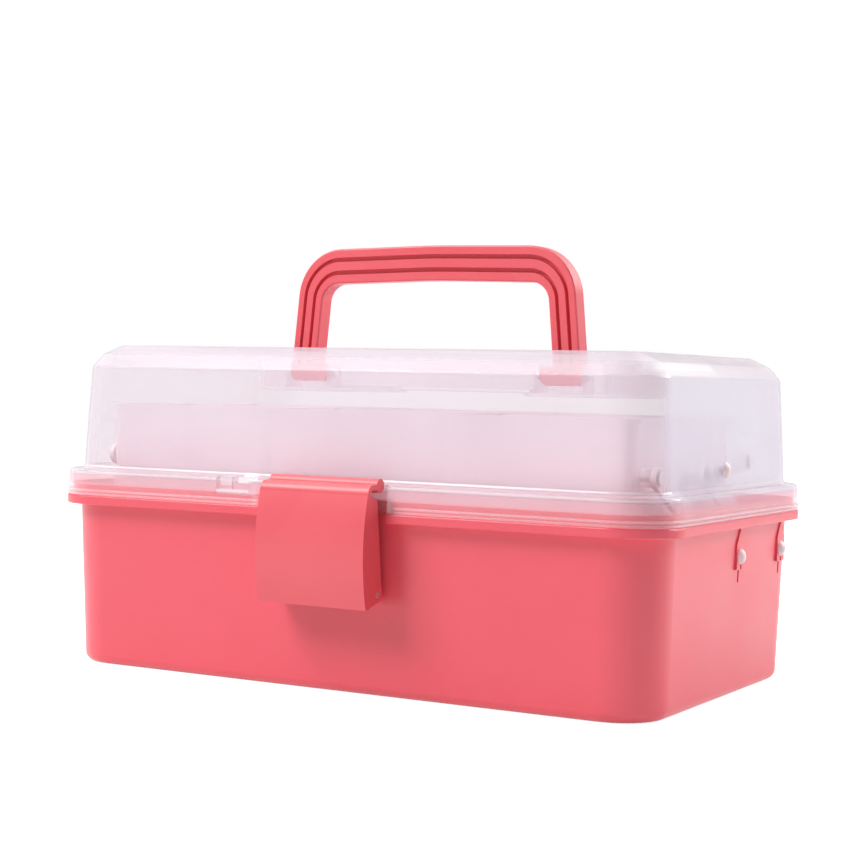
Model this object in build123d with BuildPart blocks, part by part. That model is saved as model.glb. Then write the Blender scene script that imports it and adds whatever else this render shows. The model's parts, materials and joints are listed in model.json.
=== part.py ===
from build123d import *
import os
from math import asin, atan2, cos, degrees, radians, sin, tan

# A storage box with a hinged clear lid, a folding handle, a front latch
# and two trays that rise like stairs when the lid opens.
# Sizes are in millimetres and degrees. X runs along the box, Y from front to back, Z up.
# The origin is under the middle of the base.

# Fits between pieces
running_gap = 0.3
pin_play = 0.06
seat_play = 0.02

# Outline of the rim, which tub and lid share
rim_length = 330.0
rim_depth = 200.0
rim_corner = 26.0

# Tub
tub_height = 84.0
tub_wall = 2.2
tub_floor = 2.4
tub_corner = 24.0
base_inset = 8.0
wall_inset = 5.5
base_edge = 4.5
flange_thickness = 4.5
flange_edge = 0.8
tongue_inset = 3.0
tongue_wall = 2.0
tongue_height = 6.0

# Lid
lid_gap = 0.2
skirt_height = 12.8
skirt_lean = 1.0
lid_wall = 1.8
shoulder_width = 5.8
lid_height = 74.5
lid_lean = 2.4
lid_corner = 22.0
bevel_drop = 10.7
bevel_break_drop = 4.4
bevel_break_inset = 5.4
bevel_inset = 14.5
bevel_round = 2.0
shoulder_edge = 2.0
shoulder_root = 2.4

# Notch for the latch in the front of the rim
notch_width = 66.0
notch_depth = 4.6
notch_wall = 1.6

# Snap tab moulded beside the notch, with a flap and a block in a window of the skirt
tab_start = 61.4
tab_end = 42.5
tab_height = 6.0
tab_step = 1.8
tab_flap_start = 60.0
tab_flap_end = 53.0
tab_flap_depth = 0.7
tab_block_start = 49.0
tab_block_depth = 1.6

# Handle and the recess it folds into
handle_half_width = 77.0
handle_flare = 5.5
handle_thickness = 10.0
handle_leg = 14.6
handle_beam = 17.5
handle_rise = 62.6
handle_crown = 1.4
crown_round = 20.0
handle_corner = 26.0
handle_inner_corner = 10.0
handle_groove_share = 0.125
handle_groove_depth = 3.0
handle_edge = 1.0
handle_pivot_drop = 10.7
foot_width = 22.0
foot_height = 9.0
foot_drop = 5.0
foot_chamfer = 3.0
handle_pin_radius = 2.0
ear_thickness = 2.6
ear_radius = 5.0
recess_half_length = 98.0
recess_front = 9.0
recess_depth = 17.7
recess_room = 4.0
pocket_half_start = 58.0
pocket_drop = 1.5
recess_edge = 2.0

# Latch
latch_width = 58.0
latch_wall = 2.4
latch_reach_down = 42.8
latch_proud = 9.6
latch_bulge = 3.2
latch_brow_rise = 8.5
latch_brow_radius = 4.5
latch_roll = 3.2
latch_roll_rise = 12.4
latch_cheek_proud = 1.2
latch_cheek_rise = 6.0
latch_pivot_drop = 36.6
latch_pivot_inset = 0.4
latch_boss = 3.7
latch_pin_radius = 1.5
ear_width = 3.0

# Rear hinge
hinge_radius = 3.7
hinge_pin_radius = 1.5
hinge_spacing = 200.0
knuckle_length = 18.0

# Trays
tray_room = 3.3
tray_front_room = 19.5
tray_rear_room = 53.0
tray_wall = 1.6
tray_corner = 8.0
tray_lean = 1.4
tray_lip = 1.2
tray_lip_height = 1.8
lower_tray_rise = 0.5
lower_tray_height = 30.8
upper_tray_gap = 0.7
upper_tray_height = 32.0
divider = 1.4
pocket_corner = 4.0
lower_columns = 3
lower_rows = 1
upper_columns = 3
upper_rows = 2

# Linkage: two parallel arms a side, and a short link to the lid
front_pivot = 10.3
pivot_spacing = 57.1
pivot_drop = 18.5
arm_reach = 84.7
arm_angle = 27.0
arm_width = 10.0
arm_thickness = 2.4
link_room = 2.4
link_thickness = 1.8
link_width = 9.0
link_cap = 0.6
lid_pin_y = -6.9
lid_pin_rise = 22.0
link_span = 43.8
link_rise = 3.2
link_slack = 0.6
rivet_radius = 1.9
rivet_head = 3.8
rivet_dome = 2.3
rivet_collar = 3.2
rivet_cap = 0.8
pad_width = 10.0
pad_proud = 1.0
pad_drop = 6.0
slot_width = 3.6
slot_length = 10.5

# Levels and places worked out from the sizes above
flange_bottom = tub_height - flange_thickness
lid_bottom = tub_height + lid_gap
skirt_top = lid_bottom + skirt_height
lid_top = lid_bottom + lid_height
lid_wall_top = lid_top - bevel_drop
lid_foot_inset = skirt_lean + shoulder_width
lid_head_inset = lid_foot_inset + lid_lean
hinge_y = rim_depth / 2 + hinge_radius + running_gap
hinge_z = tub_height + lid_gap / 2
tongue_top = tub_height + tongue_height
tab_low = skirt_top - tab_height
tab_back = rim_depth / 2 - skirt_lean - tab_step
tab_middle = -(tab_start + tab_end) / 2
tab_length = tab_start - tab_end
handle_pivot_height = lid_top - handle_pivot_drop
handle_top = handle_pivot_height + handle_rise
recess_floor = lid_top - recess_depth
recess_rear = handle_rise + handle_crown + recess_room
latch_bottom = tub_height - latch_reach_down
latch_front = rim_depth / 2 + latch_proud
latch_brow = tub_height + latch_brow_rise
latch_roll_height = tub_height + latch_roll_rise
latch_cheek_back = rim_depth / 2 + latch_cheek_proud
latch_cheek_top = tub_height + latch_cheek_rise
latch_pivot_height = tub_height - latch_pivot_drop
latch_pivot_y = rim_depth / 2 - latch_pivot_inset
pivot_height = tub_height - pivot_drop
rear_pivot = front_pivot + pivot_spacing
upper_pivot_dy = -arm_reach * cos(radians(arm_angle))
upper_pivot_dz = arm_reach * sin(radians(arm_angle))
lid_pin_height = lid_bottom + lid_pin_rise
tray_pin_y = lid_pin_y + link_span
tray_pin_height = lid_pin_height + link_rise
lower_tray_bottom = pivot_height + lower_tray_rise
upper_tray_bottom = lower_tray_bottom + lower_tray_height + upper_tray_gap
tray_front = rim_depth / 2 - tray_front_room
tray_rear = rim_depth / 2 - tray_rear_room
tray_depth = tray_front + tray_rear
tray_middle = (tray_rear - tray_front) / 2


def tub_inset(level):
    """How far the tub's outer wall stands in from the rim at a level."""
    return base_inset + (wall_inset - base_inset) * level / flange_bottom


def lid_inset(level):
    """How far the lid's outer wall stands in from the rim at a level."""
    return lid_foot_inset + lid_lean * (level - skirt_top) / (lid_wall_top - skirt_top)


# Layers across the right end, from the lid's wall inwards: link, arm, tray
link_outside = rim_length / 2 - lid_inset(lid_pin_height) - lid_wall - link_room
link_layer = link_outside - link_thickness
arm_outside = link_layer - 3 * running_gap - link_cap - rivet_cap
arm_layer = arm_outside - arm_thickness
tray_length = 2 * (arm_layer - tray_room)


def tapered_block(low, low_inset, low_corner, high, high_inset, high_corner, low_edge=0, high_edge=0):
    """Solid between two rounded outlines, each set in from the rim, with its edges rounded."""
    with BuildPart() as block:
        with BuildSketch(Plane.XY.offset(low)):
            RectangleRounded(rim_length - 2 * low_inset, rim_depth - 2 * low_inset, low_corner)
        with BuildSketch(Plane.XY.offset(high)):
            RectangleRounded(rim_length - 2 * high_inset, rim_depth - 2 * high_inset, high_corner)
        loft()
        if low_edge:
            fillet(block.edges().group_by(Axis.Z)[0], low_edge)
        if high_edge:
            fillet(block.edges().group_by(Axis.Z)[-1], high_edge)
    return block.part


def bar_along_x(x_start, x_end, y, z, radius):
    """Round bar along X between two places."""
    with BuildPart() as bar:
        with BuildSketch(Plane.YZ.offset(x_start)):
            with Locations((y, z)):
                Circle(radius)
        extrude(amount=x_end - x_start)
    return bar.part


def both_ends(piece):
    """The piece and its mirror image at the other end of the box."""
    return [piece, mirror(piece, about=Plane.YZ)]


def tub_pads():
    """Raised pointed pads behind the pins on the tub's right wall."""
    pad_face = rim_length / 2 - tub_inset(pivot_height) + pad_proud
    with BuildPart() as pads:
        with BuildSketch(Plane.YZ.offset(pad_face)):
            for y in (front_pivot, rear_pivot):
                with BuildLine():
                    Polyline(
                        (y - pad_width / 2, pivot_height - pad_drop),
                        (y + pad_width / 2, pivot_height - pad_drop),
                        (y + pad_width / 2, pivot_height + pad_drop),
                        (y, flange_bottom),
                        (y - pad_width / 2, pivot_height + pad_drop),
                        close=True,
                    )
                make_face()
        extrude(amount=-(pad_proud + tub_wall))
    return pads.part


def keyhole_cuts(y, z, direction, reach):
    """Pin hole with a narrow slot that runs down or up from it, through the right end wall."""
    with BuildPart() as cuts:
        with BuildSketch(Plane.YZ.offset(rim_length / 2 - reach)):
            with Locations((y, z)):
                Circle(rivet_radius + seat_play)
            with Locations((y, z + direction * slot_length / 2)):
                SlotOverall(slot_length + slot_width, slot_width / 2, rotation=90)
        extrude(amount=reach)
    return cuts.part


def knuckles(offsets):
    """Hinge barrels at both hinges, centred at the given offsets along X."""
    with BuildPart() as barrels:
        for side in (-1, 1):
            for offset in offsets:
                start = side * hinge_spacing / 2 + offset - knuckle_length / 2
                with BuildSketch(Plane.YZ.offset(start)):
                    with Locations((hinge_y, hinge_z)):
                        Circle(hinge_radius)
                extrude(amount=knuckle_length)
    return barrels.part


def hinge_bores(offsets, radius):
    """Holes through the barrels at both hinges."""
    with BuildPart() as bores:
        for side in (-1, 1):
            for offset in offsets:
                start = side * hinge_spacing / 2 + offset - knuckle_length / 2 - running_gap
                with BuildSketch(Plane.YZ.offset(start)):
                    with Locations((hinge_y, hinge_z)):
                        Circle(radius)
                extrude(amount=knuckle_length + 2 * running_gap)
    return bores.part


def hinge_webs(offsets, low, high):
    """Blocks that join the barrels to the rim."""
    with BuildPart() as webs:
        for side in (-1, 1):
            for offset in offsets:
                centre = side * hinge_spacing / 2 + offset
                with BuildSketch(Plane.XY.offset(low)):
                    with Locations((centre, (hinge_y + rim_depth / 2 - lid_wall) / 2)):
                        Rectangle(knuckle_length, hinge_y - rim_depth / 2 + lid_wall)
                extrude(amount=high - low)
    return webs.part


def moved_in(profile, wall):
    """Inner side of a wall whose outer side is a profile of insets and levels that ends at a flat top."""
    slopes = [atan2(high - low, inner - outer) for (outer, low), (inner, high) in zip(profile, profile[1:])]
    inside = [(profile[0][0] + wall, profile[0][1])]
    for (inset, level), before, after in zip(profile[1:], slopes, slopes[1:] + [0]):
        mitre = wall / cos((before - after) / 2)
        middle = (before + after) / 2
        inside.append((inset + mitre * sin(middle), level - mitre * cos(middle)))
    return inside


def dome_block(profile, corner, edge_round=0):
    """Solid that follows a profile of insets and levels: a leaning wall, then bevels up to a flat top."""
    corners = [corner - max(0, inset - profile[1][0]) for inset, level in profile]
    rings = [(level, inset, radius) for (inset, level), radius in zip(profile, corners)]
    with BuildPart() as block:
        for low, high in zip(rings, rings[1:]):
            add(tapered_block(*low, *high))
        if edge_round:
            for level, inset, radius in rings[1:]:
                ring = block.edges().filter_by(
                    lambda e: abs(e.center().Z - level) < 0.01 and e.bounding_box().size.Z < 0.01
                )
                fillet(ring, edge_round)
    return block.part


knuckle_pitch = knuckle_length + running_gap
tub_knuckles = (-knuckle_pitch, knuckle_pitch)
lid_knuckles = (0,)

# Tub
tub_outside = tapered_block(0, base_inset, tub_corner, flange_bottom, wall_inset, tub_corner, base_edge)
tub_inside = tapered_block(
    tub_floor, tub_inset(tub_floor) + tub_wall, tub_corner - tub_wall,
    tub_height, wall_inset + tub_wall, tub_corner - tub_wall, base_edge - tub_wall,
)
flange_edges = {"low_edge": flange_edge, "high_edge": flange_edge}
tub_flange = tapered_block(flange_bottom, 0, rim_corner, tub_height, 0, rim_corner, **flange_edges)
tongue_back = tongue_inset + tongue_wall
tongue_outside = tapered_block(
    tub_height, tongue_inset, rim_corner - tongue_inset,
    tongue_top, tongue_inset, rim_corner - tongue_inset,
)
tongue_inside = tapered_block(
    tub_height, tongue_back, rim_corner - tongue_back,
    tongue_top, tongue_back, rim_corner - tongue_back,
)
notch_face = rim_depth / 2 - notch_depth
tub_notch_face = notch_face - notch_wall - 2 * running_gap
tub_notch_width = notch_width + 2 * notch_wall + 4 * running_gap
latch_ear_x = latch_width / 2 - latch_wall - running_gap - ear_width / 2

with BuildPart() as tub:
    add(tub_outside)
    add(tub_flange)
    add(tongue_outside)
    add(tongue_inside, mode=Mode.SUBTRACT)
    add(tub_inside, mode=Mode.SUBTRACT)
    # Behind the latch the flange is cut away and the tongue steps back
    with BuildSketch(Plane.XY.offset(flange_bottom)):
        with Locations((0, -(rim_depth / 2 + notch_face) / 2)):
            Rectangle(notch_width, rim_depth / 2 - notch_face)
    extrude(amount=tongue_top - flange_bottom, mode=Mode.SUBTRACT)
    with BuildSketch(Plane.XY.offset(tub_height)):
        with Locations((0, -(rim_depth / 2 + tub_notch_face) / 2)):
            Rectangle(tub_notch_width, rim_depth / 2 - tub_notch_face)
    extrude(amount=tongue_height, mode=Mode.SUBTRACT)
    with BuildSketch(Plane.XY.offset(tub_height)):
        with Locations((0, -tub_notch_face + tongue_wall / 2)):
            Rectangle(tub_notch_width + 2 * tongue_wall, tongue_wall)
        return_length = rim_depth / 2 - tongue_inset - tub_notch_face + tongue_wall
        for side in (-1, 1):
            return_middle = -tub_notch_face + tongue_wall - return_length / 2
            with Locations((side * (tub_notch_width + tongue_wall) / 2, return_middle)):
                Rectangle(tongue_wall, return_length)
    extrude(amount=tongue_height)
    with BuildSketch(Plane.XY.offset(flange_bottom)):
        with Locations((0, -tub_notch_face + tongue_wall / 2)):
            Rectangle(tub_notch_width + 2 * tongue_wall, tongue_wall)
    extrude(amount=flange_thickness)
    # The tongue is lower behind the lid's snap tab
    with BuildSketch(Plane.XY.offset(tab_low - lid_wall - 2 * running_gap)):
        with Locations((tab_middle, -(rim_depth / 2 - tongue_inset - tongue_wall / 2))):
            Rectangle(tab_length + 2 * lid_wall + 4 * running_gap, tongue_wall + 2 * running_gap)
    extrude(amount=tongue_height, mode=Mode.SUBTRACT)
    # Pads and keyholes for the arms' pins
    for pads in both_ends(tub_pads()):
        add(pads)
    for y in (front_pivot, rear_pivot):
        for cut in both_ends(keyhole_cuts(y, pivot_height, -1, 2 * base_inset)):
            add(cut, mode=Mode.SUBTRACT)
    # Ears that carry the latch
    ear_root = rim_depth / 2 - tub_inset(latch_pivot_height) - tub_wall / 2
    for side in (-1, 1):
        with BuildSketch(Plane.YZ.offset(side * latch_ear_x - ear_width / 2)):
            with Locations((-latch_pivot_y, latch_pivot_height)):
                Circle(latch_boss)
            with Locations((-(latch_pivot_y + ear_root) / 2, latch_pivot_height)):
                Rectangle(latch_pivot_y - ear_root, 2 * latch_boss)
        extrude(amount=ear_width)
    with BuildSketch(Plane.YZ.offset(-latch_width / 2)):
        with Locations((-latch_pivot_y, latch_pivot_height)):
            Circle(latch_pin_radius + seat_play)
    extrude(amount=latch_width, mode=Mode.SUBTRACT)
    # Hinge barrels at the back
    add(hinge_webs(tub_knuckles, flange_bottom + flange_edge, hinge_z - lid_gap / 2))
    add(knuckles(tub_knuckles))
    add(hinge_bores(tub_knuckles, hinge_pin_radius + seat_play), mode=Mode.SUBTRACT)

# Lid
skirt_outside = tapered_block(
    lid_bottom, 0, rim_corner, skirt_top, skirt_lean, rim_corner - skirt_lean, high_edge=shoulder_edge,
)
skirt_inside = tapered_block(
    lid_bottom, lid_wall, rim_corner - lid_wall,
    skirt_top - lid_wall, skirt_lean + lid_wall, rim_corner - skirt_lean - lid_wall,
)
bevels = [
    (lid_head_inset, lid_wall_top),
    (lid_head_inset + bevel_break_inset, lid_top - bevel_break_drop),
    (lid_head_inset + bevel_inset, lid_top),
]
dome_outside = dome_block([(lid_foot_inset, skirt_top)] + bevels, lid_corner, bevel_round)
dome_inside = dome_block(
    moved_in([(lid_inset(lid_bottom), lid_bottom)] + bevels, lid_wall), lid_corner - lid_wall,
)
pocket_floor = recess_floor - pocket_drop
foot_centre = handle_half_width + handle_rise * tan(radians(handle_flare)) - foot_width / 2


def recess_block(floor, half_start, grow, top):
    """Space of the handle's recess above a floor, for both ends, or for all of it from the middle."""
    with BuildPart() as space:
        with BuildSketch(Plane.XY.offset(floor)):
            with Locations((0, (recess_rear - recess_front) / 2)):
                width = recess_rear + recess_front + 2 * grow
                RectangleRounded(2 * (recess_half_length + grow), width, recess_edge + grow)
                if half_start:
                    Rectangle(2 * (half_start - grow), width, mode=Mode.SUBTRACT)
        extrude(amount=top - floor)
    return space.part


with BuildPart() as lid:
    add(skirt_outside)
    add(dome_outside)
    foot_middles = [e.center() for e in dome_outside.edges().group_by(Axis.Z)[0]]
    root_edges = lid.edges().filter_by(
        lambda e: any((e.center() - middle).length < 0.01 for middle in foot_middles)
    )
    fillet(root_edges, shoulder_root)
    add(skirt_inside, mode=Mode.SUBTRACT)
    add(dome_inside, mode=Mode.SUBTRACT)
    # Walls that hang under the handle's recess, then the recess itself
    under_lid = lid_top - lid_wall / 2
    add(recess_block(recess_floor - lid_wall, 0, lid_wall, under_lid))
    add(recess_block(pocket_floor - lid_wall, pocket_half_start, lid_wall, under_lid))
    add(recess_block(recess_floor, 0, 0, lid_top + lid_wall), mode=Mode.SUBTRACT)
    add(recess_block(pocket_floor, pocket_half_start, 0, lid_top + lid_wall), mode=Mode.SUBTRACT)
    # Ears that carry the handle's pins
    for side in (-1, 1):
        for offset in (-1, 1):
            centre = side * foot_centre + offset * (foot_width / 2 + running_gap + ear_thickness / 2)
            with BuildSketch(Plane.YZ.offset(centre - ear_thickness / 2)):
                with Locations((0, handle_pivot_height)):
                    Circle(ear_radius)
                with Locations((0, (handle_pivot_height + pocket_floor - lid_wall / 2) / 2)):
                    Rectangle(2 * ear_radius, handle_pivot_height - pocket_floor + lid_wall / 2)
            extrude(amount=ear_thickness)
    with BuildSketch(Plane.YZ.offset(-recess_half_length)):
        with Locations((0, handle_pivot_height)):
            Circle(handle_pin_radius + seat_play)
    extrude(amount=2 * recess_half_length, mode=Mode.SUBTRACT)
    # Notch for the latch, closed by a set-back wall
    with BuildSketch(Plane.XY.offset(lid_bottom)):
        with Locations((0, -(rim_depth / 2 + notch_face) / 2)):
            Rectangle(notch_width, rim_depth / 2 - notch_face)
    extrude(amount=skirt_height + shoulder_root, mode=Mode.SUBTRACT)
    with BuildSketch(Plane.XY.offset(lid_bottom)):
        with Locations((0, -notch_face + notch_wall / 2)):
            Rectangle(notch_width + 2 * notch_wall, notch_wall)
        for side in (-1, 1):
            middle = -(rim_depth / 2 - lid_wall / 2 + notch_face - notch_wall) / 2
            with Locations((side * (notch_width + notch_wall) / 2, middle)):
                Rectangle(notch_wall, notch_depth + notch_wall - lid_wall / 2)
    extrude(amount=skirt_height - lid_wall / 2)
    # Snap tab beside the notch: a window that steps back in the skirt, with a flap and a block in it
    with BuildSketch(Plane.XY.offset(tab_low)):
        with Locations((tab_middle, -(tab_back + rim_depth / 2) / 2)):
            Rectangle(tab_length, rim_depth / 2 - tab_back)
    extrude(amount=tab_height + lid_wall, mode=Mode.SUBTRACT)
    with BuildSketch(Plane.XY.offset(tab_low - lid_wall)):
        with Locations((tab_middle, -tab_back + lid_wall / 2)):
            Rectangle(tab_length + 2 * lid_wall, lid_wall)
    extrude(amount=tab_height + lid_wall / 2)
    for start, end, depth in (
        (tab_flap_start, tab_flap_end, tab_flap_depth), (tab_block_start, tab_end, tab_block_depth),
    ):
        with BuildSketch(Plane.XY.offset(tab_low)):
            with Locations((-(start + end) / 2, -tab_back - depth / 2)):
                Rectangle(start - end, depth)
        extrude(amount=tab_height)
    # Keyholes for the pins of the two short links
    for cut in both_ends(keyhole_cuts(lid_pin_y, lid_pin_height, 1, lid_head_inset + lid_wall)):
        add(cut, mode=Mode.SUBTRACT)
    # Hinge barrels at the back
    add(hinge_webs(lid_knuckles, lid_bottom, hinge_z + hinge_radius))
    add(knuckles(lid_knuckles))
    add(hinge_bores(lid_knuckles, hinge_pin_radius + pin_play), mode=Mode.SUBTRACT)


def arch_outline(share):
    """Face under the handle's arch, where share 0 is its outer edge and share 1 its inner edge."""
    lean = tan(radians(handle_flare))
    low = handle_pivot_height
    high = handle_top - share * handle_beam
    half = handle_half_width - share * handle_leg / cos(radians(handle_flare))
    high_half = half + (handle_top - high) * lean
    low_half = half + handle_rise * lean
    corner = handle_corner + share * (handle_inner_corner - handle_corner)
    with BuildSketch(Plane.XZ) as face:
        with BuildLine():
            FilletPolyline(
                (-low_half, low), (-high_half, high), (0, high + handle_crown),
                (high_half, high), (low_half, low),
                radius=(corner, crown_round * handle_corner, corner),
            )
            Line((low_half, low), (-low_half, low))
        make_face()
    return face.sketch


def arch_band(outer_share, inner_share, front, back):
    """Part of the handle's arch between two shares of its width, from one Y to another."""
    with BuildPart() as band:
        with BuildSketch(Plane.XZ.offset(-front)):
            add(arch_outline(outer_share))
            add(arch_outline(inner_share), mode=Mode.SUBTRACT)
        extrude(amount=front - back)
    return band.part


half_thickness = handle_thickness / 2
handle_bar = arch_band(0, 1, -half_thickness, half_thickness)
ridge_share = (1 - 2 * handle_groove_share) / 3
groove_starts = (ridge_share, 2 * ridge_share + handle_groove_share)

with BuildPart() as handle:
    add(handle_bar)
    long_edges = handle.edges().filter_by(lambda e: abs(abs(e.center().Y) - half_thickness) < 0.01)
    fillet(long_edges.filter_by(lambda e: e.center().Z > handle_pivot_height + 1), handle_edge)
    for start in groove_starts:
        end = start + handle_groove_share
        bottom = half_thickness - handle_groove_depth
        add(arch_band(start, end, -half_thickness - handle_edge, -bottom), mode=Mode.SUBTRACT)
        add(arch_band(start, end, bottom, half_thickness + handle_edge), mode=Mode.SUBTRACT)
    for side in (-1, 1):
        with BuildSketch(Plane.XZ.offset(-half_thickness)):
            with BuildLine():
                foot_low = handle_pivot_height - foot_drop
                left = side * foot_centre - foot_width / 2
                right = side * foot_centre + foot_width / 2
                Polyline(
                    (left, foot_low + foot_chamfer), (left + foot_chamfer, foot_low),
                    (right - foot_chamfer, foot_low), (right, foot_low + foot_chamfer),
                    (right, foot_low + foot_height), (left, foot_low + foot_height),
                    close=True,
                )
            make_face()
        extrude(amount=handle_thickness)
    with BuildSketch(Plane.YZ.offset(-recess_half_length)):
        with Locations((0, handle_pivot_height)):
            Circle(handle_pin_radius + pin_play)
    extrude(amount=2 * recess_half_length, mode=Mode.SUBTRACT)

# Latch: a bowed plate with side cheeks, curled back at the top
roll_y = notch_face + running_gap + latch_roll
brow_top = latch_brow + latch_brow_radius
latch_middle = (latch_bottom + latch_brow) / 2
brow_slant = latch_brow_radius * (1 - cos(radians(45)))

with BuildPart() as latch:
    with BuildSketch(Plane.YZ.offset(-latch_width / 2)):
        with BuildLine():
            inner = latch_front - latch_wall
            inner_radius = latch_brow_radius - latch_wall
            inner_slant = latch_wall + inner_radius * (1 - cos(radians(45)))
            ThreePointArc((-latch_front, latch_bottom), (-latch_front - latch_bulge, latch_middle),
                          (-latch_front, latch_brow))
            ThreePointArc((-latch_front, latch_brow), (-latch_front + brow_slant, brow_top - brow_slant),
                          (-latch_front + latch_brow_radius, brow_top))
            Line((-latch_front + latch_brow_radius, brow_top), (-roll_y, brow_top))
            Line((-roll_y, brow_top), (-roll_y, brow_top - latch_wall))
            brow_inside = (-latch_front + latch_brow_radius, brow_top - latch_wall)
            Line((-roll_y, brow_top - latch_wall), brow_inside)
            ThreePointArc(brow_inside, (-latch_front + inner_slant, brow_top - inner_slant),
                          (-inner, latch_brow))
            ThreePointArc((-inner, latch_brow), (-inner - latch_bulge, latch_middle),
                          (-inner, latch_bottom))
            Line((-inner, latch_bottom), (-latch_front, latch_bottom))
        make_face()
        with Locations((-roll_y, latch_roll_height)):
            Circle(latch_roll)
    extrude(amount=latch_width)
    for side in (-1, 1):
        with BuildSketch(Plane.YZ.offset(side * (latch_width - latch_wall) / 2 - latch_wall / 2)):
            with BuildLine():
                plate = latch_front - latch_wall / 2
                Polyline(
                    (-plate, latch_bottom),
                    (-latch_pivot_y, latch_pivot_height - latch_boss),
                    (-latch_pivot_y + latch_boss, latch_pivot_height),
                    (-latch_cheek_back, latch_cheek_top),
                    (-plate, latch_brow),
                    (-plate - latch_bulge, latch_middle),
                    close=True,
                )
            make_face()
            with Locations((-latch_pivot_y, latch_pivot_height)):
                Circle(latch_boss)
        extrude(amount=latch_wall)
    with BuildSketch(Plane.YZ.offset(-latch_width / 2)):
        with Locations((-latch_pivot_y, latch_pivot_height)):
            Circle(latch_pin_radius + pin_play)
    extrude(amount=latch_width, mode=Mode.SUBTRACT)

# Trays: open boxes with a lip, moulded dividers and bosses on the end walls
inside_length = tray_length - 2 * (tray_lip + tray_lean + tray_wall)
inside_depth = tray_depth - 2 * (tray_lip + tray_lean + tray_wall)
boss_radius = rivet_collar + 1.0
tray_end = tray_length / 2 - tray_lip - tray_lean - tray_wall
front_lower = (front_pivot + upper_pivot_dy / 2, pivot_height + upper_pivot_dz / 2)
front_upper = (front_pivot + upper_pivot_dy, pivot_height + upper_pivot_dz)
lower_pins = (front_lower, (front_lower[0] + pivot_spacing, front_lower[1]))
upper_pins = (front_upper, (front_upper[0] + pivot_spacing, front_upper[1]))
tray_pin = (tray_pin_y, tray_pin_height)
lid_pin = (lid_pin_y, lid_pin_height)


def make_tray(bottom, height, columns, rows, bosses):
    """Tray from its level, height, compartments, and bosses given as place and outer end."""
    under_lip = bottom + height - tray_lip_height
    cell_length = (inside_length - (columns - 1) * divider) / columns
    cell_depth = (inside_depth - (rows - 1) * divider) / rows
    with BuildPart() as tray:
        for level, shrink in ((bottom, tray_lip + tray_lean), (under_lip, tray_lip)):
            with BuildSketch(Plane.XY.offset(level)):
                with Locations((0, tray_middle)):
                    outline = (tray_length - 2 * shrink, tray_depth - 2 * shrink)
                    RectangleRounded(*outline, tray_corner - shrink)
        loft()
        with BuildSketch(Plane.XY.offset(under_lip)):
            with Locations((0, tray_middle)):
                RectangleRounded(tray_length, tray_depth, tray_corner)
        extrude(amount=tray_lip_height)
        for place, reach in bosses:
            for boss in both_ends(bar_along_x(tray_end, reach, *place, boss_radius)):
                add(boss)
        with BuildSketch(Plane.XY.offset(bottom + tray_wall)):
            with Locations((0, tray_middle)):
                with GridLocations(cell_length + divider, cell_depth + divider, columns, rows):
                    RectangleRounded(cell_length, cell_depth, pocket_corner)
        extrude(amount=height, mode=Mode.SUBTRACT)
        for place, reach in bosses:
            for hole in both_ends(bar_along_x(tray_end, reach, *place, rivet_radius + seat_play)):
                add(hole, mode=Mode.SUBTRACT)
    return tray.part


arm_bosses = arm_layer - running_gap
link_boss = link_layer - running_gap
lower_tray = make_tray(lower_tray_bottom, lower_tray_height, lower_columns, lower_rows,
                       [(place, arm_bosses) for place in lower_pins])
upper_tray = make_tray(upper_tray_bottom, upper_tray_height, upper_columns, upper_rows,
                       [(place, arm_bosses) for place in upper_pins] + [(tray_pin, link_boss)])


def make_bar(start, end, width, layer, thickness, holes):
    """Flat bar with round ends between two places, lying in a layer, with holes as place and radius."""
    dy = end[0] - start[0]
    dz = end[1] - start[1]
    length = (dy**2 + dz**2) ** 0.5
    with BuildPart() as bar:
        with BuildSketch(Plane.YZ.offset(layer)):
            with Locations(((start[0] + end[0]) / 2, (start[1] + end[1]) / 2)):
                SlotCenterToCenter(length, width, rotation=degrees(atan2(dz, dy)))
            for place, radius in holes:
                with Locations(place):
                    Circle(radius, mode=Mode.SUBTRACT)
        extrude(amount=thickness)
    return bar.part


def make_arm(foot, lower, upper):
    """Arm from its pin on the tub past the lower tray to the upper tray."""
    holes = [(place, rivet_radius + pin_play) for place in (foot, lower, upper)]
    return make_bar(foot, upper, arm_width, arm_layer, arm_thickness, holes)


def make_dome(place, base):
    """Domed head of a pin on the right side, standing on a plane across X."""
    ball = (rivet_head**2 + rivet_dome**2) / (2 * rivet_dome)
    half_angle = asin(rivet_head / ball) / 2
    centre = rivet_dome - ball
    with BuildPart() as head:
        with BuildSketch(Plane(origin=(base, *place), x_dir=(1, 0, 0), z_dir=(0, 0, 1))):
            with BuildLine():
                Line((0, 0), (rivet_dome, 0))
                middle = (centre + ball * cos(half_angle), ball * sin(half_angle))
                ThreePointArc((rivet_dome, 0), middle, (0, rivet_head))
                Line((0, rivet_head), (0, 0))
            make_face()
        revolve(axis=Axis((base, *place), (1, 0, 0)))
    return head.part


def make_pin(place, inner, outer, collars, dome=False):
    """Moulded pin along X, with collars as start and end, and a domed head at its outer end."""
    y, z = place
    head = make_dome(place, outer) if dome else None
    with BuildPart() as pin:
        add(bar_along_x(inner, outer, y, z, rivet_radius))
        for start, end in collars:
            add(bar_along_x(start, end, y, z, rivet_collar))
        if head is not None:
            add(head)
    return pin.part


def pin_group(pins):
    """The pins and their mirror images at the other end, as one group."""
    return Compound(children=[each for pin in pins for each in both_ends(pin)])


front_foot = (front_pivot, pivot_height)
rear_foot = (rear_pivot, pivot_height)
front_arm = make_arm(front_foot, lower_pins[0], upper_pins[0])
rear_arm = make_arm(rear_foot, lower_pins[1], upper_pins[1])
lid_link = make_bar(lid_pin, tray_pin, link_width, link_layer, link_thickness,
                    [(lid_pin, rivet_radius + link_slack), (tray_pin, rivet_radius + pin_play)])

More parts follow.
